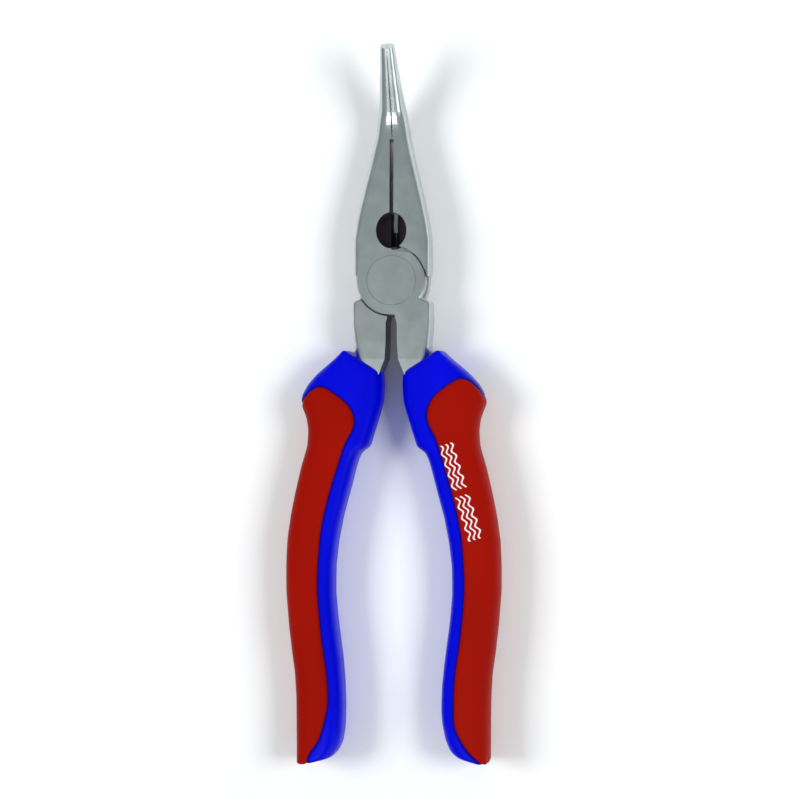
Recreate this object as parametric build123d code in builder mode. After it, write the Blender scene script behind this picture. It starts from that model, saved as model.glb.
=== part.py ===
"""Bent-nose fishing pliers: two forged halves lapped on one flush rivet, with two-colour moulded grips.

Millimetres. The origin is on the pivot axis, at the back face of the joint. +Y runs from the pivot to the
nose, +Z is the pivot axis and points out of the front face, and +X is to the right of the front view.
The front half is the left jaw, the front lap and the right handle. The rear half is the right jaw, the rear
lap and the left handle. Every shape is drawn on the +X side and mirrored where it is needed on the -X side.
"""

import os
from math import cos, radians, sin

from build123d import *

os.makedirs("parts", exist_ok=True)

# ---- lap joint ------------------------------------------------------------------------------------------
JOINT_THICK = 10.4  # both laps together, front face to back face
LAP_GAP = 0.1  # play between the two laps
MID_Z = JOINT_THICK / 2
JAW_LAP_R = 9.6  # lap radius where it meets the other half's jaw
TANG_LAP_R = 9.95  # lap radius where it meets the other half's tang
LAP_TILT = 0.16  # slope, from the Y axis, of the line where the two radii change over
LAP_PLAY = 0.2  # radial gap between a lap and the shoulder round it
LAP_EDGE = 0.35  # chamfer on the lap's outer rim
LAP_FLAT = [(-0.2, 10.2), (-0.2, 8.55), (5.3, 7.6), (7.2, 9.6)]  # relief on the lap beside the cutter

# ---- rivet ----------------------------------------------------------------------------------------------
RIVET_SHANK_R = 3.8
RIVET_HEAD_R = 6.95
RIVET_LAND = 0.5  # straight rim of each countersunk head
RIVET_CONE = 2.6  # depth of the cone under the rim
RIVET_PLAY = 0.05  # running clearance in the half that turns on it
RIVET_RIM = 0.12  # chamfer round each head

# ---- jaws -----------------------------------------------------------------------------------------------
JAW_PLAY = 0.04  # each gripping face stands this far from the middle plane
HEAD_HALF = 10.65  # half width of the head
HEAD_TOP_Y = 11.5  # the head's sides are straight up to here
HEAD_CORNER = 1.6  # rounding along the head's outer edges
HEAD_FOOT = [(HEAD_HALF, 1.2), (8.0, 0.9), (JAW_PLAY, 3.0)]  # underside of the head, from the toe inwards
SLOPE = [(9.5, 0.0), (11.8, 4.9), (11.8, -1.0)]  # cut that blends a jaw into its own lap
TOE_FLARE = [(8.6, 4.1), (9.75, 2.6), (10.05, 0.3), (8.6, 0.3)]  # flared end of the shoulder at the toe

BEND_Y = 39.5  # the nose begins to bend here
BEND_R = 17.0
BEND_ANGLE = 32.5
NOSE_LENGTH = 18.6  # straight part after the bend
BEND_THICK = 8.6  # thickness where the bend begins
BEND_END_THICK = 6.9
TIP_THICK = 3.2
BEND_ARC = BEND_R * radians(BEND_ANGLE)
NOSE_START = BEND_Y + BEND_ARC
TIP = NOSE_START + NOSE_LENGTH

# Distance along the jaw, half width, corner radius. The thickness comes from jaw_thickness().
BEND_SECTIONS = 9
JAW_STATIONS = [
    (HEAD_TOP_Y, HEAD_HALF, HEAD_CORNER),
    (17.0, 9.85, 1.8),
    (22.5, 8.7, 2.0),
    (28.0, 7.45, 2.3),
    (34.0, 6.1, 2.6),
    *[
        (BEND_Y + BEND_ARC * k / BEND_SECTIONS, 4.95 - 1.4 * k / BEND_SECTIONS, 2.9 - 0.4 * k / BEND_SECTIONS)
        for k in range(BEND_SECTIONS)
    ],
    (NOSE_START, 3.55, 2.5),
    (NOSE_START + 6, 3.0, 2.1),
    (NOSE_START + 12, 2.45, 1.75),
    (TIP, 1.95, 1.35),
]

RELIEF = 0.56  # depth of the relief between the cutter and the bend
TOOTH_PITCH = 1.3
TOOTH_DEPTH = 0.3
TOOTH_START = BEND_Y + 1.5
TOOTH_COUNT = 19

# ---- line cutter: an oval window through both jaws with a blade on each side ------------------------------
CUTTER_Y = 13.95
CUTTER_HALF_X = 4.3
CUTTER_HALF_Y = 5.1
BLADE_STEP_X = 1.1  # the steep part of each blade ends this far out from the edge
BLADE_STEP_Z = 2.5  # and this far up from the middle of the thickness

# ---- tangs: y, inner x, outer x, thickness, outer corner radius -------------------------------------------
TANG_INNER = 1.55
TANG_OUTER = 10.95
TANG_BLOCK_Y = -12.0
TANG_CORNER = 0.9
TANG_TOP = [(0.9, -4.6), (6.2, -3.5), (TANG_OUTER, -6.1), (TANG_OUTER, TANG_BLOCK_Y)]
TANG_ROOT = [(TANG_INNER, TANG_BLOCK_Y), (0.9, -9.4)]
TANG_SHOULDER_ROUND = 1.1
TANG_STATIONS = [
    (TANG_BLOCK_Y, TANG_INNER, TANG_OUTER, JOINT_THICK, TANG_CORNER),
    (-17.0, 1.6, 10.65, JOINT_THICK, 1.6),
    (-22.0, 1.9, 10.25, 10.2, 2.3),
    (-25.0, 3.1, 10.2, 9.8, 2.4),
    (-29.0, 4.6, 10.8, 9.2, 2.4),
    (-36.0, 6.3, 12.6, 8.6, 2.4),
    (-46.0, 10.3, 16.6, 8.2, 2.2),
    (-58.0, 15.2, 21.4, 7.8, 2.0),
    (-72.0, 19.0, 25.2, 7.6, 2.0),
    (-86.0, 20.1, 26.2, 7.4, 2.0),
    (-100.0, 19.0, 24.9, 7.2, 1.9),
    (-113.0, 17.6, 23.3, 7.0, 1.8),
    (-125.0, 17.6, 23.0, 6.8, 1.8),
]

# ---- grips: y, inner x, outer x ---------------------------------------------------------------------------
GRIP_THICK = 15.0
GRIP_ROUND = 4.0
PAD_DEPTH = 2.2  # the soft pad's thickness over the hard core
PAD_ROUND = 2.4  # rounding of the core under the pad
GRIP_TOP_Y = -18.0
GRIP_END_Y = -136.2
GRIP_STATIONS = [
    (GRIP_TOP_Y, 2.6, 26.3),
    (-30.0, 2.7, 26.3),
    (-35.0, 3.4, 25.6),
    (-40.0, 5.0, 24.3),
    (-45.0, 7.0, 24.3),
    (-50.0, 9.2, 25.3),
    (-57.0, 11.7, 27.1),
    (-66.0, 14.4, 29.1),
    (-76.0, 16.2, 30.3),
    (-87.0, 16.8, 30.4),
    (-98.0, 15.9, 29.5),
    (-108.0, 14.5, 28.3),
    (-118.0, 13.5, 27.6),
    (-127.0, 13.7, 27.4),
    (GRIP_END_Y, 14.2, 27.3),
]
GRIP_SHOULDER = [(0.0, -27.1), (13.3, -19.5), (21.4, -26.0), (24.3, -29.2), (26.6, -33.8)]
GRIP_ABOVE = [(40.0, -33.8), (40.0, -10.0), (0.0, -10.0)]
GRIP_END = [(13.2, -125.5), (15.6, -131.8), (22.5, -135.6)]
GRIP_BELOW = [(22.5, -135.6), (28.0, -136.1), (28.0, -140.0), (8.0, -140.0), (8.0, -125.5), (13.2, -125.5)]
PAD_EDGE = [
    (22.6, -28.6),
    (19.6, -27.9),
    (14.2, -31.6),
    (10.8, -36.5),
    (12.6, -43.0),
    (16.6, -56.0),
    (20.0, -71.0),
    (21.0, -86.0),
    (19.3, -104.0),
    (18.2, -116.5),
    (19.8, -127.5),
    (24.5, -134.0),
    (30.0, -138.5),
]
PAD_OUTSIDE = [(30.0, -138.5), (40.0, -138.5), (40.0, -34.0), (25.7, -33.6), (22.6, -28.6)]

REACH = 30.0  # longer than any cut needs


def axis_point(station):
    """(y, z, angle in radians) of the jaw's centre line at a distance along it from the pivot."""
    turned = min(max(station - BEND_Y, 0.0), BEND_ARC) / BEND_R
    past = max(station - NOSE_START, 0.0)
    y = min(station, BEND_Y) + BEND_R * sin(turned) + past * cos(turned)
    z = MID_Z + BEND_R * (1 - cos(turned)) + past * sin(turned)
    return y, z, turned


def section_plane(station):
    """Plane square to the jaw, with its local x along +X."""
    y, z, turned = axis_point(station)
    return Plane(origin=(0, y, z), x_dir=(1, 0, 0), z_dir=(0, cos(turned), sin(turned)))


def tooth_plane(station):
    """Plane through the jaw's centre line, with local x along +X and local y along the jaw."""
    y, z, turned = axis_point(station)
    return Plane(origin=(0, y, z), x_dir=(1, 0, 0), z_dir=(0, -sin(turned), cos(turned)))


def jaw_thickness(station):
    """Thickness of the jaw: straight tapers from the head to the tip."""
    knots = [(HEAD_TOP_Y, JOINT_THICK), (BEND_Y, BEND_THICK), (NOSE_START, BEND_END_THICK), (TIP, TIP_THICK)]
    for (low, thick_low), (high, thick_high) in zip(knots, knots[1:]):
        if station <= high:
            return thick_low + (thick_high - thick_low) * (station - low) / (high - low)
    return TIP_THICK


def jaw_section(station, half_width, corner):
    """One section through both jaws together."""
    with BuildSketch(section_plane(station)) as section:
        RectangleRounded(2 * half_width, jaw_thickness(station), corner)
    return section.sketch.face()


def tang_section(y, inner, outer, thickness, corner):
    """One section of the +X tang: flat towards the middle plane and rounded on its outer corners."""
    with BuildSketch(Plane(origin=(0, y, MID_Z), x_dir=(1, 0, 0), z_dir=(0, 1, 0))) as section:
        with Locations((inner, 0)):
            Rectangle(outer - inner, thickness, align=(Align.MIN, Align.CENTER))
        fillet(section.vertices().group_by(Axis.X)[-1], corner)
    return section.sketch.face()


def on_side(points, side):
    """The points, drawn for +X, on the given side."""
    return [(side * x, y) for x, y in points]


def side_part(part, side):
    """The part, made for +X, on the given side."""
    return part if side > 0 else mirror(part, about=Plane.YZ, mode=Mode.PRIVATE)


def draw_lap(side, play):
    """Draw a lap's outline, with its larger radius on the given side."""
    Circle(TANG_LAP_R + play)
    split(bisect_by=Plane(origin=(0, 0, 0), z_dir=(side, -LAP_TILT, 0)))
    Circle(JAW_LAP_R + play)


def rivet_solid(play):
    """The rivet's shape, or with some play the hole that it turns in."""
    shank = RIVET_SHANK_R + play
    rim = RIVET_HEAD_R + play
    depth = RIVET_LAND + RIVET_CONE
    with BuildPart() as solid:
        with BuildSketch(Plane.XZ):
            Polygon(
                (0, 0),
                (rim, 0),
                (rim, RIVET_LAND),
                (shank, depth),
                (shank, JOINT_THICK - depth),
                (rim, JOINT_THICK - RIVET_LAND),
                (rim, JOINT_THICK),
                (0, JOINT_THICK),
                align=None,
            )
        revolve(axis=Axis.Z)
    return solid.part


# ---- blanks for the +X side -------------------------------------------------------------------------------
with BuildPart() as long_nose:
    loft(sections=[jaw_section(*station) for station in JAW_STATIONS], ruled=True)
    split(bisect_by=Plane.YZ.offset(JAW_PLAY))

with BuildPart() as jaw_blank:
    with BuildSketch():
        Polygon((JAW_PLAY, HEAD_TOP_Y), (HEAD_HALF, HEAD_TOP_Y), *HEAD_FOOT, align=None)
    extrude(amount=JOINT_THICK)
    fillet(jaw_blank.faces().sort_by(Axis.X)[-1].edges().filter_by(Axis.Y), HEAD_CORNER)
    add(long_nose.part)

with BuildPart() as tang_blank:
    with BuildSketch() as tang_plan:
        Polygon(*TANG_TOP, *TANG_ROOT, align=None)
        fillet(tang_plan.vertices().group_by(Axis.X)[-1].sort_by(Axis.Y)[-1], TANG_SHOULDER_ROUND)
    extrude(amount=JOINT_THICK)
    fillet(tang_blank.faces().sort_by(Axis.X)[-1].edges().filter_by(Axis.Y), TANG_CORNER)
    loft(sections=[tang_section(*station) for station in TANG_STATIONS], ruled=True)

with BuildPart() as cutter_window:
    with BuildSketch():
        with Locations((0, CUTTER_Y)):
            Ellipse(CUTTER_HALF_X, CUTTER_HALF_Y)
    extrude(amount=REACH, both=True)
    with BuildSketch(Plane.XZ.move(Location((0, 0, MID_Z)))):
        Polygon(
            (0, 0),
            (BLADE_STEP_X, BLADE_STEP_Z),
            (BLADE_STEP_X + REACH, BLADE_STEP_Z + REACH),
            (-BLADE_STEP_X - REACH, BLADE_STEP_Z + REACH),
            (-BLADE_STEP_X, BLADE_STEP_Z),
            align=None,
        )
        mirror(about=Plane.XZ)
    extrude(amount=REACH, both=True, mode=Mode.INTERSECT)


def forged_half(side):
    """One forged half: its jaw is on the given side of the pivot and its tang on the other."""
    if side < 0:
        lap_low, lap_high = MID_Z + LAP_GAP / 2, JOINT_THICK
        pocket_low, pocket_high = 0, MID_Z + LAP_GAP / 2
    else:
        lap_low, lap_high = 0, MID_Z - LAP_GAP / 2
        pocket_low, pocket_high = MID_Z - LAP_GAP / 2, JOINT_THICK

    with BuildPart() as lap:
        with BuildSketch(Plane.XY.offset(lap_low)):
            draw_lap(side, 0)
        extrude(amount=lap_high - lap_low)
        rim = lap.faces().sort_by(Axis.Z)[-1 if side < 0 else 0].edges()
        chamfer(rim, LAP_EDGE)
        with BuildSketch(Plane.XY.offset(lap_low)):
            Polygon(*on_side(LAP_FLAT, -side), align=None)
        extrude(amount=lap_high - lap_low, mode=Mode.SUBTRACT)

    with BuildPart() as half:
        add(side_part(jaw_blank.part, side))
        with BuildSketch(Plane.XY.offset(lap_low)):
            Polygon(*on_side(SLOPE, side), align=None)
        extrude(amount=lap_high - lap_low, mode=Mode.SUBTRACT)
        add(side_part(tang_blank.part, -side))
        with BuildSketch(Plane.XY.offset(pocket_low)):
            draw_lap(-side, LAP_PLAY)
            Polygon(*on_side(TOE_FLARE, side), align=None)
        extrude(amount=pocket_high - pocket_low, mode=Mode.SUBTRACT)
        add(lap.part)
        add(cutter_window.part, mode=Mode.SUBTRACT)

        # relief between the cutter and the bend
        with BuildSketch():
            with Locations((0, CUTTER_Y)):
                Rectangle(2 * RELIEF, BEND_Y - CUTTER_Y, align=(Align.CENTER, Align.MIN))
        extrude(amount=JOINT_THICK, mode=Mode.SUBTRACT)

        # teeth: the two jaws' grooves stand half a pitch apart
        first = TOOTH_START + (TOOTH_PITCH / 2 if side < 0 else 0)
        for tooth in range(TOOTH_COUNT):
            with BuildSketch(tooth_plane(first + tooth * TOOTH_PITCH)):
                Polygon(
                    (0, -TOOTH_PITCH / 2),
                    (side * (JAW_PLAY + TOOTH_DEPTH), 0),
                    (0, TOOTH_PITCH / 2),
                    align=None,
                )
            extrude(amount=BEND_THICK, both=True, mode=Mode.SUBTRACT)

        add(rivet_solid(0 if side < 0 else RIVET_PLAY), mode=Mode.SUBTRACT)
    return half


# ---- the two halves and the rivet -------------------------------------------------------------------------
front_half = forged_half(-1)
front_half.part.label = "front_half"
export_step(front_half.part, "parts/front_half.step")

rear_half = forged_half(1)
rear_half.part.label = "rear_half"
export_step(rear_half.part, "parts/rear_half.step")

with BuildPart() as pivot_rivet:
    add(rivet_solid(0))
    chamfer(pivot_rivet.faces().filter_by(Axis.Z).edges(), RIVET_RIM)
pivot_rivet.part.label = "pivot_rivet"
export_step(pivot_rivet.part, "parts/pivot_rivet.step")


# ---- grips ------------------------------------------------------------------------------------------------
def grip_section(y, inner, outer, inset, corner):
    """A rounded section of the grip, square to Y, moved inwards all round by the inset."""
    plane = Plane(origin=(0, y, MID_Z), x_dir=(1, 0, 0), z_dir=(0, 1, 0))
    with BuildSketch(plane) as section:
        with Locations(((inner + outer) / 2, 0)):
            RectangleRounded(outer - inner - 2 * inset, GRIP_THICK - 2 * inset, corner)
    return section.sketch.face()


with BuildPart() as grip_blank:
    loft(sections=[grip_section(*station, 0, GRIP_ROUND) for station in GRIP_STATIONS])
    with BuildSketch():
        Polygon(*GRIP_SHOULDER, *GRIP_ABOVE, align=None)
    extrude(amount=REACH, both=True, mode=Mode.SUBTRACT)
    with BuildSketch():
        with BuildLine():
            ThreePointArc(*GRIP_END)
            Polyline(*GRIP_BELOW)
        make_face()
    extrude(amount=REACH, both=True, mode=Mode.SUBTRACT)

with BuildPart() as under_pad:
    loft(sections=[grip_section(*station, PAD_DEPTH, PAD_ROUND) for station in GRIP_STATIONS])
    with BuildSketch(Plane.XZ.offset(-GRIP_END_Y - PAD_DEPTH)):
        Rectangle(4 * REACH, 4 * REACH)
    extrude(amount=REACH, mode=Mode.SUBTRACT)

with BuildPart() as pad_blank:
    add(grip_blank.part)
    with BuildSketch():
        with BuildLine():
            Spline(*PAD_EDGE)
            Polyline(*PAD_OUTSIDE)
        make_face()
    extrude(amount=REACH, both=True, mode=Mode.INTERSECT)
    add(under_pad.part, mode=Mode.SUBTRACT)

with BuildPart() as core_blank:
    add(grip_blank.part)
    add(pad_blank.part, mode=Mode.SUBTRACT)
    add(tang_blank.part, mode=Mode.SUBTRACT)

for name, side in (("right", 1), ("left", -1)):
    for kind, blank in (("core", core_blank), ("pad", pad_blank)):
        with BuildPart() as piece:
            add(side_part(blank.part, side))
        piece.part.label = f"{name}_grip_{kind}"
        export_step(piece.part, f"parts/{name}_grip_{kind}.step")
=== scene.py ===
"""Bent-nose fishing pliers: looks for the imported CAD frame.

Metres, in the frame of the CAD model: +Y from the pivot to the nose, +Z out of the front face, +X to the
right. The two forged halves and the rivet are the CAD's own solids with steel materials. The four grip
mouldings are remodelled here, in millimetres, as smooth shapes with a groove between the hard core and the
soft pad.
"""

import math
from functools import partial

import bpy
import numpy as np
from mathutils import Matrix, Vector


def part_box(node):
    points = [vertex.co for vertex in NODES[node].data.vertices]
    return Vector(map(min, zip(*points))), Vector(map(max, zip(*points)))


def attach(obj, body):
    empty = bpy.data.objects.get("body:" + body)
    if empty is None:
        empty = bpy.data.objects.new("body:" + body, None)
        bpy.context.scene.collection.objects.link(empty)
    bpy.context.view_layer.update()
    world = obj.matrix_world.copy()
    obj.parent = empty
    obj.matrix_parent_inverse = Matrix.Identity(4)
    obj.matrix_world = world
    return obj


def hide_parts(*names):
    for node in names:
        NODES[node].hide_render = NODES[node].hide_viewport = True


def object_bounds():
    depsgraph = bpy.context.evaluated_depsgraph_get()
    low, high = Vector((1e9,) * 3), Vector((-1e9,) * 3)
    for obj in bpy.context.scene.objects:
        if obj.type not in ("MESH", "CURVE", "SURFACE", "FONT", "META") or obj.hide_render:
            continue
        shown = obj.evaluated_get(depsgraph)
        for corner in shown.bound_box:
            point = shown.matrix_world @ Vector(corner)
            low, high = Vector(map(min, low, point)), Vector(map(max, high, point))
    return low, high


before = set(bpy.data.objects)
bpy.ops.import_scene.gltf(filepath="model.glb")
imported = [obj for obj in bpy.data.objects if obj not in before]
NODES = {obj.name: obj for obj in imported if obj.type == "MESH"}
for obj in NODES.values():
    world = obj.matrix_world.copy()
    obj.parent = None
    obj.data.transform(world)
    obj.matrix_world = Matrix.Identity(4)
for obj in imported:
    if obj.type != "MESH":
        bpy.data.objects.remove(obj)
cad_low, cad_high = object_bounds()

MM = 0.001
MID_Z = sum(corner[2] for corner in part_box("pivot_rivet")) / 2  # halfway through the joint, and the grips

# ---- grip outlines in plan, in millimetres, on the +X side ------------------------------------------------
# the sides as (y, x), from the shoulder's peak towards the end
INNER_LINE = [
    (-19.6, 13.0), (-25.4, 2.9), (-29.7, 2.7), (-34.0, 3.0), (-37.2, 3.9), (-41.4, 5.2), (-44.2, 6.1),
    (-46.9, 6.9), (-48.0, 9.2), (-51.2, 10.5), (-60.0, 12.8), (-66.6, 14.6), (-73.4, 15.9), (-80.0, 16.7),
    (-88.0, 16.8), (-95.0, 16.2), (-107.0, 14.6),
]
OUTER_LINE = [
    (-19.6, 13.6), (-26.0, 21.4), (-29.2, 24.3), (-32.6, 26.1), (-34.4, 26.0), (-38.6, 24.3), (-41.9, 23.8),
    (-46.5, 24.1), (-53.0, 26.0), (-60.0, 27.6), (-66.0, 28.8), (-73.0, 29.8), (-80.0, 30.1), (-87.0, 30.1),
    (-97.0, 29.3), (-104.0, 28.5), (-110.3, 27.6), (-117.0, 27.2), (-126.0, 27.1), (-136.0, 27.0),
]

# the pad's outline as (x, y): its edge on the grip's faces, and the way back round outside the grip
PAD_EDGE = [
    (22.6, -28.9), (19.8, -27.9), (16.2, -29.8), (12.4, -33.0), (10.7, -36.8), (11.2, -40.4), (13.2, -44.4),
    (15.4, -51.6), (17.8, -60.0), (20.0, -70.0), (20.9, -80.0), (21.0, -88.0), (19.9, -100.2), (18.5, -110.0),
    (18.1, -118.0),
]
PAD_OUTSIDE = [(27.6, -138.0), (45.0, -138.0), (45.0, -34.6), (26.4, -34.2), (24.6, -31.0)]

# the two grips end differently: the right one is shorter and rounder, the left one squarer
RIGHT_INNER_END = [
    (-113.7, 13.9), (-120.0, 13.7), (-124.0, 14.0), (-128.4, 14.9), (-131.6, 16.3), (-133.4, 18.3),
    (-134.2, 20.8), (-134.6, 24.0), (-134.9, 26.4),
]
LEFT_INNER_END = [
    (-113.7, 14.1), (-120.0, 13.9), (-126.5, 14.1), (-130.7, 14.9), (-133.5, 16.5), (-134.9, 18.6),
    (-135.3, 22.0), (-135.6, 26.4),
]
RIGHT_PAD_END = [(18.3, -124.0), (20.3, -128.4), (22.4, -131.3), (25.0, -133.7), (27.6, -136.0)]
LEFT_PAD_END = [(19.2, -124.0), (20.8, -128.8), (22.9, -131.8), (23.9, -134.0), (24.1, -137.0)]
LEFT_PAD_DROP = 2.3  # how much lower the left pad's top stands
PAD_DROP_END = -66.0  # and from this y down the two pads' edges agree again, as far as their ends

# ---- grip sizes, in millimetres ---------------------------------------------------------------------------
GRIP_HALF_THICK = 7.2
LEAST_HALF_WIDTH = 0.4  # at the shoulder's peak and at the end, where the sides meet
SECTION_POWER = 3.4  # how square the grip's sections are: 2 is an ellipse
STATION_STEP = 0.35  # from one section to the next
LOOP_POINTS = 96  # round one section
INNER_SOFTENING = 3  # the sides are averaged over this many stations each way
OUTER_SOFTENING = 4
VOXEL = 0.45
SMOOTH_FACTOR = 0.5
SMOOTH_ROUNDS = 8
PAD_EDGE_STEPS = 8  # in each span of the pad's edge
PAD_PROUD = 0.25
PAD_LIP = 0.7  # half width of the rounded edge along the pad
PAD_DROP = 1.5  # how far that edge falls, from the pad's top
PAD_SHELL = 1.2  # thickness of the moulded pad
PAD_RIM = 0.1  # the pad's least thickness, at the bottom of the rounded edge
SEAT_DEPTH = 1.35  # depth of the core's seat under the pad
SEAT_WALL = (-0.6, 0.45)  # the seat goes down between these distances from the pad's outline
EDGE_ATTRIBUTE = "pad_distance"


def line_at(points, at):
    """x of a plan line at each y."""
    ys, xs = zip(*sorted(points))
    return np.interp(at, ys, xs)


def softened(values, reach):
    """The values averaged over their neighbours, with the two end values carried on past the ends."""
    padded = np.pad(values, reach, mode="edge")
    weights = np.hanning(2 * reach + 3)[1:-1]
    return np.convolve(padded, weights / weights.sum(), mode="valid")


def catmull_rom(points, per_span):
    """A smooth line through the points."""
    pts = np.array([points[0], *points, points[-1]], float)
    line = []
    for a, b, c, d in zip(pts, pts[1:], pts[2:], pts[3:]):
        slope = c - a
        bend = 2 * a - 5 * b + 4 * c - d
        twist = 3 * b - a - 3 * c + d
        for t in np.arange(per_span) / per_span:
            line.append(0.5 * (2 * b + slope * t + bend * t**2 + twist * t**3))
    line.append(pts[-1])
    return np.array(line)


def pad_distance(x, y, pad_end):
    """Signed distance in plan to the pad's outline, positive inside it."""
    start = np.vstack([catmull_rom(PAD_EDGE + pad_end, PAD_EDGE_STEPS), np.array(PAD_OUTSIDE, float)])
    end = np.roll(start, -1, axis=0)
    best = np.full(len(x), np.inf)
    inside = np.zeros(len(x), bool)
    for (ax, ay), (bx, by) in zip(start, end):
        dx, dy = bx - ax, by - ay
        share = np.clip(((x - ax) * dx + (y - ay) * dy) / max(dx * dx + dy * dy, 1e-9), 0, 1)
        best = np.minimum(best, np.hypot(x - ax - share * dx, y - ay - share * dy))
        if ay != by:
            inside ^= ((ay > y) != (by > y)) & (x < (bx - ax) * (y - ay) / (by - ay) + ax)
    return np.where(inside, best, -best)


def smoothstep(low, high, value):
    """0 up to low, 1 from high on, and a smooth rise between them."""
    share = np.clip((value - low) / (high - low), 0, 1)
    return share * share * (3 - 2 * share)


def new_object(name, verts, faces):
    """A linked mesh object."""
    mesh = bpy.data.meshes.new(name)
    mesh.from_pydata([tuple(v) for v in verts], [], faces)
    mesh.update()
    obj = bpy.data.objects.new(name, mesh)
    bpy.context.scene.collection.objects.link(obj)
    return obj


def baked(obj, name):
    """A new object holding the mesh of obj with its modifiers applied; obj is removed."""
    depsgraph = bpy.context.evaluated_depsgraph_get()
    mesh = bpy.data.meshes.new_from_object(obj.evaluated_get(depsgraph))
    made = bpy.data.objects.new(name, mesh)
    bpy.context.scene.collection.objects.link(made)
    bpy.data.objects.remove(obj)
    return made


def grip_blank(inner_line):
    """The whole outside of a grip, drawn on the +X side, remeshed evenly and smoothed. Millimetres."""
    y = np.arange(inner_line[0][0], inner_line[-1][0], -STATION_STEP)
    inner = softened(line_at(inner_line, y), INNER_SOFTENING)
    outer = softened(line_at(OUTER_LINE, y), OUTER_SOFTENING)
    turn = 2 * math.pi * np.arange(LOOP_POINTS) / LOOP_POINTS
    round_x = np.sign(np.cos(turn)) * np.abs(np.cos(turn)) ** (2 / SECTION_POWER)
    round_z = np.sign(np.sin(turn)) * np.abs(np.sin(turn)) ** (2 / SECTION_POWER)
    half_width = np.maximum((outer - inner) / 2, LEAST_HALF_WIDTH)
    x = ((outer + inner) / 2)[:, None] + half_width[:, None] * round_x
    z = np.broadcast_to(MID_Z / MM + GRIP_HALF_THICK * round_z, x.shape)
    verts = np.stack([x, np.broadcast_to(y[:, None], x.shape), z], axis=-1).reshape(-1, 3)
    rings = len(y)
    faces = []
    for ring in range(rings - 1):
        here, beyond = ring * LOOP_POINTS, (ring + 1) * LOOP_POINTS
        for k in range(LOOP_POINTS):
            after = (k + 1) % LOOP_POINTS
            faces.append((here + k, here + after, beyond + after, beyond + k))
    faces.append(tuple(range(LOOP_POINTS))[::-1])
    faces.append(tuple((rings - 1) * LOOP_POINTS + k for k in range(LOOP_POINTS)))
    rough = new_object("grip_rough", verts, faces)
    remesh = rough.modifiers.new("even", "REMESH")
    remesh.mode = "VOXEL"
    remesh.voxel_size = VOXEL
    smooth = rough.modifiers.new("soft", "SMOOTH")
    smooth.factor = SMOOTH_FACTOR
    smooth.iterations = SMOOTH_ROUNDS
    return baked(rough, "grip_blank")


def read_mesh(obj):
    """Vertex places, vertex normals and faces of a mesh."""
    mesh = obj.data
    places = np.zeros(len(mesh.vertices) * 3)
    mesh.vertices.foreach_get("co", places)
    normals = np.zeros(len(mesh.vertices) * 3)
    mesh.vertices.foreach_get("normal", normals)
    return places.reshape(-1, 3), normals.reshape(-1, 3), [tuple(p.vertices) for p in mesh.polygons]


def finished_piece(name, places, faces, side, finish, body, node):
    """Put a moulding, made in millimetres on the +X side, on its side and in the model."""
    verts = places * MM * np.array([side, 1, 1])
    if side < 0:
        faces = [face[::-1] for face in faces]
    obj = new_object(name, verts, faces)
    obj.data.polygons.foreach_set("use_smooth", [True] * len(obj.data.polygons))
    obj.data.materials.append(finish)
    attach(obj, body)
    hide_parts(node)
    return obj


def core_places(places, normals, distance):
    """The core: a seat under the pad, whose edge shows as a groove round it."""
    drop = SEAT_DEPTH * smoothstep(*SEAT_WALL, distance)
    return places - normals * drop[:, None]


def pad_mesh(places, normals, faces, distance):
    """The pad: the skin inside its outline, proud of the core, with a rounded edge and closed underneath."""
    kept = distance > -PAD_LIP - VOXEL
    chosen = [face for face in faces if all(kept[v] for v in face)]
    used = sorted({v for face in chosen for v in face})
    number = {v: k for k, v in enumerate(used)}
    chosen = [tuple(number[v] for v in face) for face in chosen]
    fall = np.clip((PAD_LIP - distance[used]) / (2 * PAD_LIP), 0, 1)
    rise = PAD_PROUD - PAD_DROP * (1 - np.sqrt(1 - fall**2))
    floor_rise = np.minimum(rise - PAD_RIM, PAD_PROUD - PAD_SHELL)
    top = places[used] + normals[used] * rise[:, None]
    under = places[used] + normals[used] * floor_rise[:, None]
    count = len(used)
    edges = dict.fromkeys((a, b) for face in chosen for a, b in zip(face, face[1:] + face[:1]))
    rim = [(a, b) for a, b in edges if (b, a) not in edges]
    closed = chosen + [tuple(v + count for v in face[::-1]) for face in chosen]
    closed += [(b, a, a + count, b + count) for a, b in rim]
    return np.vstack([top, under]), closed


# ---- material helpers -------------------------------------------------------------------------------------
RAMP_ENDS = (0.3, 0.7)  # a noise seldom leaves this range


def material(name):
    """A new node material: (material, node maker, link maker, shader)."""
    mat = bpy.data.materials.new(name)
    mat.use_nodes = True
    tree = mat.node_tree
    shader = tree.nodes["Principled BSDF"]

    def node(kind, **settings):
        made = tree.nodes.new(kind)
        for key, value in settings.items():
            if key in made.inputs:
                made.inputs[key].default_value = value
            else:
                setattr(made, key, value)
        return made

    def link(source, target):
        tree.links.new(source, target)

    return mat, node, link, shader


def object_space(node, link, stretch=(1, 1, 1)):
    """Object coordinates, stretched: a noise is finer along an axis with a larger number."""
    coords = node("ShaderNodeTexCoord")
    mapping = node("ShaderNodeMapping", Scale=stretch)
    link(coords.outputs["Object"], mapping.inputs["Vector"])
    return mapping.outputs["Vector"]


def object_axes(node, link, kind="Object"):
    """The three parts of an output of Texture Coordinate."""
    coords = node("ShaderNodeTexCoord")
    split = node("ShaderNodeSeparateXYZ")
    link(coords.outputs[kind], split.inputs["Vector"])
    return split.outputs["X"], split.outputs["Y"], split.outputs["Z"]


def noise(node, link, vector, scale=1.0, detail=4.0, rough=0.55):
    made = node("ShaderNodeTexNoise", Scale=scale, Detail=detail, Roughness=rough)
    link(vector, made.inputs["Vector"])
    return made.outputs["Fac"]


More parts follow.
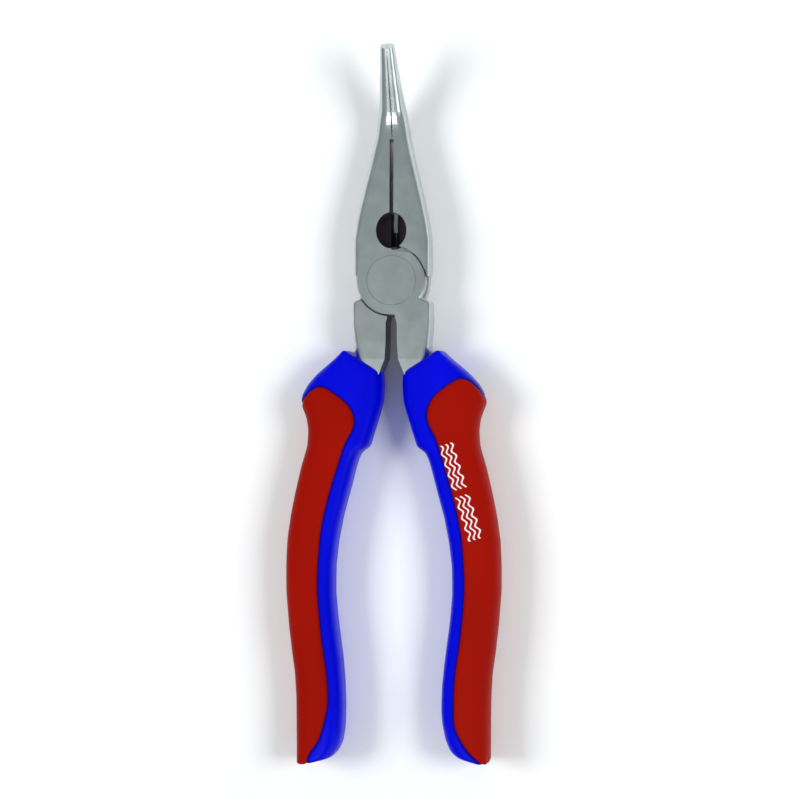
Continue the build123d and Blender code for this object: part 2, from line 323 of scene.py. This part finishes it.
def ramp(node, link, factor, low, high):
    """A colour between low and high."""
    made = node("ShaderNodeValToRGB")
    for element, position, colour in zip(made.color_ramp.elements, RAMP_ENDS, (low, high)):
        element.position = position
        element.color = (*colour, 1.0)
    link(factor, made.inputs["Fac"])
    return made.outputs["Color"]


def spread(node, link, factor, low, high, span=(0.0, 1.0)):
    """A number that goes from low to high as the factor crosses the span."""
    made = node("ShaderNodeMapRange")
    for key, value in zip(("From Min", "From Max", "To Min", "To Max"), (*span, low, high)):
        made.inputs[key].default_value = value
    link(factor, made.inputs["Value"])
    return made.outputs["Result"]


def mixed(node, link, factor, colour, other):
    """The colour where the factor is 0, and the other one where it is 1."""
    made = node("ShaderNodeMix", data_type="RGBA")
    link(factor, made.inputs["Factor"])
    link(colour, made.inputs["A"])
    made.inputs["B"].default_value = (*other, 1.0)
    return made.outputs["Result"]


def bump(node, link, height, strength, distance, under=None):
    made = node("ShaderNodeBump", Strength=strength, Distance=distance)
    link(height, made.inputs["Height"])
    if under is not None:
        link(under, made.inputs["Normal"])
    return made.outputs["Normal"]


def math_node(node, link, operation, first, second=None):
    """A Math node; each input is a socket or a number."""
    made = node("ShaderNodeMath", operation=operation)
    for slot, value in enumerate((first, second)):
        if value is None:
            continue
        if isinstance(value, (int, float)):
            made.inputs[slot].default_value = value
        else:
            link(value, made.inputs[slot])
    return made.outputs["Value"]


# ---- steel, in metres -------------------------------------------------------------------------------------
# the walls of the cutter window, the relief between the jaws and the gap between the tangs get painted shade:
# a dark steel colour that stands for the deep shade in them
CUTTER_CENTRE_Y = 0.01395
CUTTER_SIZE = (0.0044, 0.0052)  # half sizes of an oval round the cutter window
SLIT_HALF = 0.0008  # the walls of the relief between the jaws are nearer the plane x = 0 than this
SLIT_SPAN = (0.013, 0.040)
TANG_GAP_HALF = 0.0042  # the tangs' facing sides are nearer it than this
TANG_GAP_SPAN = (-0.030, -0.0095)
WALL_LEAN = 0.8  # a wall's normal has less of Z than this; the flat faces have more
# the colour of the painted shade on those walls
RECESS_SHADE_COLOUR = (0.24, 0.205, 0.23)
POLISHED_SPAN = (0.036, 0.044)  # over this stretch the steel gets smoother, towards the nose
POLISHED_SHARE = 0.75  # the nose's roughness, as a share of the rest's


def recess_shade(node, link):
    """Mask for painted shade: 1 on the walls of the cutter window, the relief and the gap between the tangs,
    0 elsewhere.
    """
    op = partial(math_node, node, link)
    x, y, _ = object_axes(node, link)
    lean = object_axes(node, link, "Normal")[2]

    def strip(half, span):
        near = op("LESS_THAN", op("ABSOLUTE", x), half)
        beside = op("MULTIPLY", op("GREATER_THAN", y, span[0]), op("LESS_THAN", y, span[1]))
        return op("MULTIPLY", near, beside)

    across = op("DIVIDE", x, CUTTER_SIZE[0])
    along = op("DIVIDE", op("SUBTRACT", y, CUTTER_CENTRE_Y), CUTTER_SIZE[1])
    reach = op("ADD", op("MULTIPLY", across, across), op("MULTIPLY", along, along))
    places = op("MAXIMUM", op("LESS_THAN", reach, 1.0), strip(SLIT_HALF, SLIT_SPAN))
    places = op("MAXIMUM", places, strip(TANG_GAP_HALF, TANG_GAP_SPAN))
    return op("MULTIPLY", places, op("LESS_THAN", op("ABSOLUTE", lean), WALL_LEAN))


def steel(name, dark, light, rough):
    """Ground and satin-polished steel: fine grinding lines across, cloudy polish, a few scratches along, and
    painted shade on the walls of the recesses.
    """
    mat, node, link, shader = material(name)
    cloud = noise(node, link, object_space(node, link), scale=160.0, detail=5.0)
    lines = noise(node, link, object_space(node, link, stretch=(40, 900, 200)), detail=6.0, rough=0.6)
    scratches = noise(node, link, object_space(node, link, stretch=(2600, 90, 300)), detail=2.0, rough=0.4)
    face = ramp(node, link, cloud, dark, light)
    # the recess walls are painted dark as their shade
    link(mixed(node, link, recess_shade(node, link), face, RECESS_SHADE_COLOUR), shader.inputs["Base Color"])
    shader.inputs["Metallic"].default_value = 1.0
    satin = spread(node, link, cloud, *rough)
    polish = spread(node, link, object_axes(node, link)[1], 1.0, POLISHED_SHARE, span=POLISHED_SPAN)
    link(math_node(node, link, "MULTIPLY", satin, polish), shader.inputs["Roughness"])
    ground = bump(node, link, lines, strength=0.10, distance=0.00004)
    worn = bump(node, link, scratches, strength=0.06, distance=0.00003, under=ground)
    link(worn, shader.inputs["Normal"])
    return mat


# ---- plastic ----------------------------------------------------------------------------------------------
BLUE_DARK = (0.0, 0.001, 0.56)
BLUE_LIGHT = (0.0, 0.002, 0.66)
# a dark colour painted in the groove round the pad as its shade
GROOVE_SHADE_COLOUR = (0.002, 0.0, 0.05)
GROOVE_SHADE_SPAN = (-1.3, -0.35)  # painted shade thickens between these distances in mm from the pad's outline, in the groove round the pad
GROOVE_SHADE_MOST = 0.8


def blue_plastic():
    """Glossy moulded plastic: faint flow texture, handling marks, and painted shade in the groove round the
    pad.
    """
    mat, node, link, shader = material("grip_blue")
    flow = noise(node, link, object_space(node, link, stretch=(60, 22, 60)), detail=3.0)
    grain = noise(node, link, object_space(node, link), scale=2600.0, detail=2.0)
    marks = noise(node, link, object_space(node, link, stretch=(500, 120, 500)), detail=8.0, rough=0.7)
    from_pad = node("ShaderNodeAttribute", attribute_name=EDGE_ATTRIBUTE).outputs["Fac"]
    # painted shade in the groove round the pad
    groove_shade = spread(node, link, from_pad, 0.0, GROOVE_SHADE_MOST, span=GROOVE_SHADE_SPAN)
    unshaded_blue = ramp(node, link, flow, BLUE_DARK, BLUE_LIGHT)
    link(mixed(node, link, groove_shade, unshaded_blue, GROOVE_SHADE_COLOUR), shader.inputs["Base Color"])
    link(spread(node, link, marks, low=0.22, high=0.44), shader.inputs["Roughness"])
    shader.inputs["Specular IOR Level"].default_value = 0.08
    link(bump(node, link, grain, strength=0.05, distance=0.00005), shader.inputs["Normal"])
    return mat


# ---- rubber and its printed motif, in millimetres: two runs of wavy lines along the right pad -------------
MOTIF_START = (15.6, -45.8)
MOTIF_END = (24.0, -72.2)
MOTIF_LINES = (-1.45, 0.0, 1.45)  # the lines' places across the motif
MOTIF_WAVE = 3.1
MOTIF_SWING = 0.45
MOTIF_HALF_LINE = 0.25
MOTIF_GAP = (0.47, 0.54)  # the bare stretch between the two runs, as shares of the length
PRINT_COLOUR = (0.86, 0.76, 0.78)
RED_DARK = (0.27, 0.003, 0.0)
RED_LIGHT = (0.33, 0.005, 0.0005)


def motif_mask(node, link):
    """1 on the printed waves of the front of the +X pad, 0 elsewhere."""
    op = partial(math_node, node, link)
    x, y, z = object_axes(node, link)
    x0, y0 = (value * MM for value in MOTIF_START)
    dx, dy = (MOTIF_END[0] - MOTIF_START[0]) * MM, (MOTIF_END[1] - MOTIF_START[1]) * MM
    length = math.hypot(dx, dy)
    ux, uy = dx / length, dy / length
    from_x = op("SUBTRACT", x, x0)
    from_y = op("SUBTRACT", y, y0)
    along = op("ADD", op("MULTIPLY", from_x, ux), op("MULTIPLY", from_y, uy))
    across = op("ADD", op("MULTIPLY", from_x, -uy), op("MULTIPLY", from_y, ux))
    swing = op("SINE", op("MULTIPLY", along, 2 * math.pi / (MOTIF_WAVE * MM)))
    wave = op("MULTIPLY", swing, MOTIF_SWING * MM)
    mask = None
    for line in MOTIF_LINES:
        off = op("ABSOLUTE", op("SUBTRACT", op("SUBTRACT", across, line * MM), wave))
        here = op("LESS_THAN", off, MOTIF_HALF_LINE * MM)
        mask = here if mask is None else op("MAXIMUM", mask, here)
    share = op("DIVIDE", along, length)
    inside = op("MULTIPLY", op("GREATER_THAN", share, 0.0), op("LESS_THAN", share, 1.0))
    gap = op("MULTIPLY", op("GREATER_THAN", share, MOTIF_GAP[0]), op("LESS_THAN", share, MOTIF_GAP[1]))
    inside = op("MULTIPLY", inside, op("SUBTRACT", 1.0, gap))
    front = op("GREATER_THAN", z, MID_Z)
    return op("MULTIPLY", mask, op("MULTIPLY", inside, front))


def red_rubber(name, printed):
    """Soft satin rubber with a fine pebble and slight colour drift; one pad carries the printed motif."""
    mat, node, link, shader = material(name)
    drift = noise(node, link, object_space(node, link, stretch=(45, 18, 45)), detail=3.0)
    pebble = noise(node, link, object_space(node, link), scale=1900.0, detail=2.0)
    wear = noise(node, link, object_space(node, link), scale=220.0, detail=6.0, rough=0.65)
    colour = ramp(node, link, drift, RED_DARK, RED_LIGHT)
    if printed:
        colour = mixed(node, link, motif_mask(node, link), colour, PRINT_COLOUR)
    link(colour, shader.inputs["Base Color"])
    link(spread(node, link, wear, low=0.42, high=0.62), shader.inputs["Roughness"])
    shader.inputs["Specular IOR Level"].default_value = 0.06
    link(bump(node, link, pebble, strength=0.12, distance=0.00008), shader.inputs["Normal"])
    return mat


# ---- steel parts ------------------------------------------------------------------------------------------
forged = steel("forged_steel", dark=(0.53, 0.575, 0.57), light=(0.65, 0.70, 0.69), rough=(0.26, 0.38))
rivet_steel = steel("rivet_steel", dark=(0.56, 0.605, 0.595), light=(0.67, 0.72, 0.705), rough=(0.26, 0.36))
for node_name, finish in (("front_half", forged), ("rear_half", forged), ("pivot_rivet", rivet_steel)):
    NODES[node_name].data.materials.clear()
    NODES[node_name].data.materials.append(finish)

# ---- grips ------------------------------------------------------------------------------------------------
blue = blue_plastic()
PADS = {"right": red_rubber("grip_red_printed", True), "left": red_rubber("grip_red", False)}
BODIES = {"right": "front_body", "left": "rear_body"}
GRIPS = (
    ("right", 1, RIGHT_INNER_END, RIGHT_PAD_END, 0.0),
    ("left", -1, LEFT_INNER_END, LEFT_PAD_END, LEFT_PAD_DROP),
)
for name, side, inner_end, pad_end, pad_drop in GRIPS:
    blank = grip_blank(INNER_LINE + inner_end)
    skin, skin_normals, skin_faces = read_mesh(blank)
    bpy.data.objects.remove(blank)
    lowered = pad_drop * smoothstep(PAD_DROP_END, PAD_EDGE[1][1], skin[:, 1])
    edge_distance = pad_distance(skin[:, 0], skin[:, 1] + lowered, pad_end)
    seat = core_places(skin, skin_normals, edge_distance)
    body = BODIES[name]
    core = finished_piece(f"{name}_core", seat, skin_faces, side, blue, body, f"{name}_grip_core")
    attribute = core.data.attributes.new(EDGE_ATTRIBUTE, "FLOAT", "POINT")
    attribute.data.foreach_set("value", edge_distance)
    shell, shell_faces = pad_mesh(skin, skin_normals, skin_faces, edge_distance)
    pad = finished_piece(f"{name}_pad", shell, shell_faces, side, PADS[name], body, f"{name}_grip_pad")

# ---- floor ------------------------------------------------------------------------------------------------
FLOOR_HALF = 2.0
PAPER_DARK = (0.90, 0.91, 0.91)
PAPER_LIGHT = (0.93, 0.93, 0.93)
floor_z = float(cad_low[2])
corners = [(-1, -1), (1, -1), (1, 1), (-1, 1)]
floor = new_object("floor", [(x * FLOOR_HALF, y * FLOOR_HALF, floor_z) for x, y in corners], [(0, 1, 2, 3)])
paper, paper_node, paper_link, paper_shader = material("paper")
paper_tone = noise(paper_node, paper_link, object_space(paper_node, paper_link), scale=30.0)
paper_colour = ramp(paper_node, paper_link, paper_tone, PAPER_DARK, PAPER_LIGHT)
paper_link(paper_colour, paper_shader.inputs["Base Color"])
paper_shader.inputs["Roughness"].default_value = 0.8
floor.data.materials.append(paper)

# ---- lights -----------------------------------------------------------------------------------------------
LIT_PLACE = Vector((0, -0.03, 0))  # near the middle of the pliers
SKY_LOW = (0.36, 0.40, 0.43, 1.0)
SKY_HIGH = (0.52, 0.56, 0.575, 1.0)
SKY_STRENGTH = 0.75


def softbox(name, place, width, height, power, mirrored):
    """A rectangular area light aimed at the pliers. A mirrored one makes only highlights, others none."""
    data = bpy.data.lights.new(name, "AREA")
    data.shape = "RECTANGLE"
    data.size = width
    data.size_y = height
    data.energy = power
    lamp = bpy.data.objects.new(name, data)
    lamp.location = place
    lamp.rotation_mode = "QUATERNION"
    lamp.rotation_quaternion = (LIT_PLACE - Vector(place)).to_track_quat("-Z", "Y")
    lamp.visible_glossy = mirrored
    lamp.visible_diffuse = not mirrored
    bpy.context.scene.collection.objects.link(lamp)


softbox("softbox_left", (-0.72, 0.0, 0.78), width=0.40, height=0.40, power=6.2, mirrored=False)
softbox("softbox_right", (0.72, 0.0, 0.78), width=0.40, height=0.40, power=6.2, mirrored=False)
softbox("bend_glint", (-0.08, -0.50, 0.93), width=0.24, height=0.36, power=1.6, mirrored=True)
softbox("nose_stripe", (0.61, -0.65, 0.29), width=0.60, height=0.60, power=2.6, mirrored=True)

world = bpy.data.worlds.new("studio")
bpy.context.scene.world = world
world.use_nodes = True
world_nodes, world_links = world.node_tree.nodes, world.node_tree.links
sky_coords = world_nodes.new("ShaderNodeTexCoord")
sky_split = world_nodes.new("ShaderNodeSeparateXYZ")
sky_tone = world_nodes.new("ShaderNodeValToRGB")
sky_tone.color_ramp.elements[0].color = SKY_LOW
sky_tone.color_ramp.elements[1].color = SKY_HIGH
sky = world_nodes["Background"]
sky.inputs["Strength"].default_value = SKY_STRENGTH
world_links.new(sky_coords.outputs["Generated"], sky_split.inputs["Vector"])
world_links.new(sky_split.outputs["Z"], sky_tone.inputs["Fac"])
world_links.new(sky_tone.outputs["Color"], sky.inputs["Color"])
bpy.context.scene.view_settings.view_transform = "Standard"

# ---- camera -----------------------------------------------------------------------------------------------
CAMERA_DISTANCE = 0.62
CAMERA_SWING = math.radians(8.0)  # from straight above, towards +X
FRAME_WIDTH = 0.2235  # width of the view at the joint's front face
VIEW_CENTRE = (0.0025, -0.0335)
SENSOR_WIDTH = 36.0  # millimetres
front_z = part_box("pivot_rivet")[1][2]
aim_at = Vector((*VIEW_CENTRE, front_z))
look_from = aim_at + CAMERA_DISTANCE * Vector((math.sin(CAMERA_SWING), 0, math.cos(CAMERA_SWING)))
camera_data = bpy.data.cameras.new("camera")
camera_data.sensor_width = SENSOR_WIDTH
camera_data.lens = SENSOR_WIDTH * CAMERA_DISTANCE / FRAME_WIDTH
camera = bpy.data.objects.new("camera", camera_data)
back = (look_from - aim_at).normalized()
right = Vector((0, 1, 0)).cross(back).normalized()
turn = Matrix((right, back.cross(right), back)).transposed()
camera.matrix_world = Matrix.Translation(look_from) @ turn.to_4x4()
bpy.context.scene.collection.objects.link(camera)
bpy.context.scene.camera = camera
